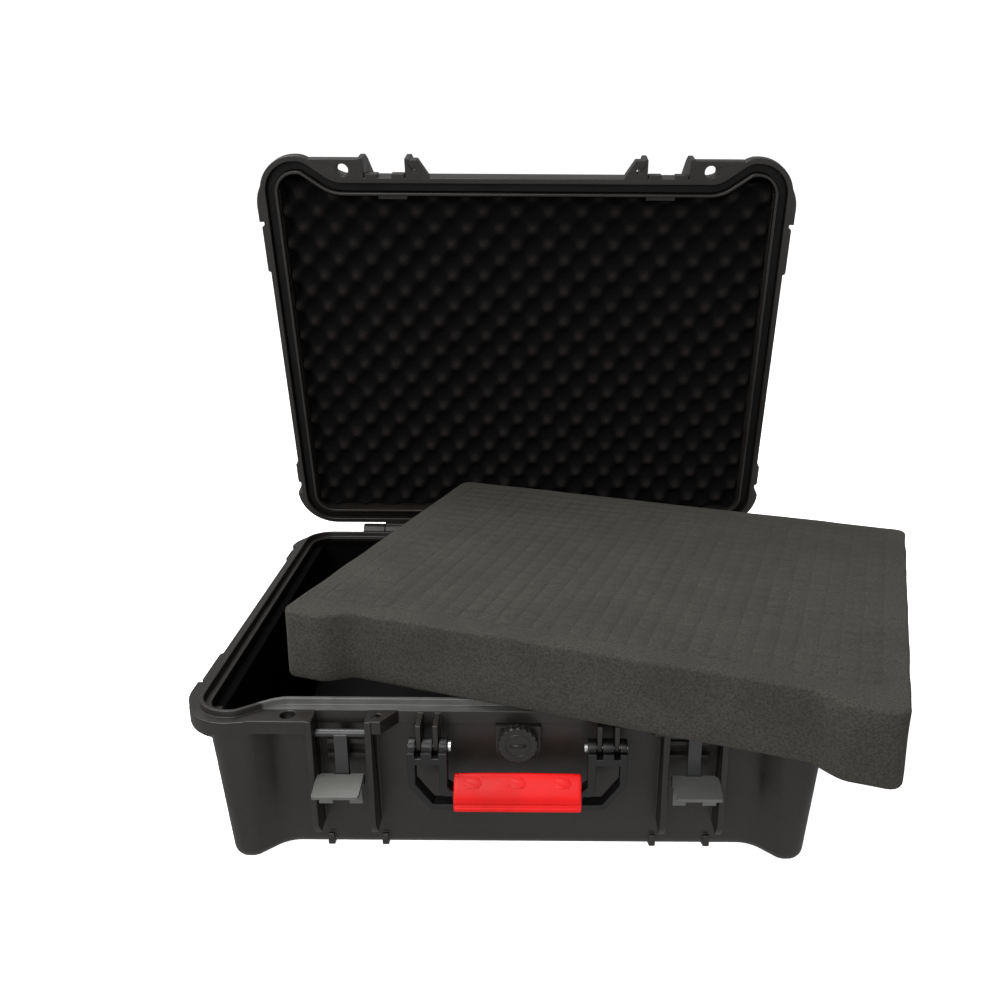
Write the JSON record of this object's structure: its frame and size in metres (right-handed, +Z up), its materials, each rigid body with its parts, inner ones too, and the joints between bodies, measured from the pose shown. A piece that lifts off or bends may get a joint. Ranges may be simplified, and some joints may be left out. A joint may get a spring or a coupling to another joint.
{
  "type": "hard equipment case",
  "caption": "Moulded plastic equipment case with a hinged foam-lined lid, bail handle, draw latches, pressure valve and lift-out foam block.",
  "frame": {"origin": "centre of the bottom face of the base, on the floor", "axes": "+X right along the case's width, -Y to the front with the handle and latches, +Z up"},
  "size_m": [0.635, 0.5693, 0.5444],
  "materials": {
    "case_plastic": "moulded, fine grain, satin",
    "trim_plastic": "smooth satin",
    "lever_plastic": "smooth satin, dark grey",
    "grip_red": "satin, faint square panels",
    "gasket_rubber": "matte",
    "pin_steel": "polished",
    "lid_foam": "open-cell foam",
    "block_foam": "open-cell foam",
    "membrane": "thin white disc"
  },
  "bodies": {
    "base": {"base_shell": "case_plastic", "base_foam_pad": "lid_foam", "valve_body": "trim_plastic", "valve_o_ring": "gasket_rubber", "valve_nut": "trim_plastic", "valve_membrane": "membrane", "left_hinge_pin": "pin_steel", "right_hinge_pin": "pin_steel", "left_handle_pin": "pin_steel", "right_handle_pin": "pin_steel", "left_latch_base_pin": "pin_steel", "right_latch_base_pin": "pin_steel"},
    "lid": {"lid_shell": "case_plastic", "lid_gasket": "gasket_rubber", "lid_foam": "lid_foam", "lid_foam_clips": "case_plastic"},
    "foam": {"foam_block": "block_foam"},
    "handle": {"handle_frame": "trim_plastic", "handle_grip": "grip_red"},
    "valve_knob": {"valve_knob": "trim_plastic"},
    "left_link": {"left_latch_link": "trim_plastic"},
    "left_lever": {"left_latch_lever": "lever_plastic", "left_latch_lever_pin": "pin_steel"},
    "right_link": {"right_latch_link": "trim_plastic"},
    "right_lever": {"right_latch_lever": "lever_plastic", "right_latch_lever_pin": "pin_steel"}
  },
  "joints": [
    {"name": "lid_hinge", "type": "hinge", "parent": "base", "child": "lid", "pos_m": [0, 0.2155, 0.131], "axis": [1, 0, 0], "range_deg": [0, 77.5]},
    {"name": "foam_lift_out", "type": "slide", "parent": "base", "child": "foam", "axis": [0.8342, -0.5407, 0.1081], "range_m": [0, 0.6473]},
    {"name": "handle_pivot", "type": "hinge", "parent": "base", "child": "handle", "pos_m": [0, -0.2, 0.1095], "axis": [-1, 0, 0], "range_deg": [0, 92]},
    {"name": "valve_turn", "type": "hinge", "parent": "base", "child": "valve_knob", "pos_m": [0, -0.195, 0.109], "axis": [0, 1, 0], "range_deg": [0, 180]},
    {"name": "left_link_pivot", "type": "hinge", "parent": "base", "child": "left_link", "pos_m": [-0.136, -0.193, 0.116], "axis": [-1, 0, 0], "range_deg": [0, 172]},
    {"name": "left_lever_pivot", "type": "hinge", "parent": "left_link", "child": "left_lever", "pos_m": [-0.136, -0.196, 0.076], "axis": [1, 0, 0], "range_deg": [0, 252]},
    {"name": "right_link_pivot", "type": "hinge", "parent": "base", "child": "right_link", "pos_m": [0.136, -0.193, 0.116], "axis": [-1, 0, 0], "range_deg": [0, 172]},
    {"name": "right_lever_pivot", "type": "hinge", "parent": "right_link", "child": "right_lever", "pos_m": [0.136, -0.196, 0.076], "axis": [1, 0, 0], "range_deg": [0, 172]}
  ],
  "couplings": [
    {"joint": "foam_lift_out", "follows": "lid_hinge", "m_per_rad": 0.4785},
    {"joint": "right_link_pivot", "follows": "lid_hinge", "ratio": 2.2193},
    {"joint": "right_lever_pivot", "follows": "lid_hinge", "ratio": 2.2193},
    {"joint": "left_lever_pivot", "follows": "left_link_pivot", "ratio": 1.4651}
  ]
}
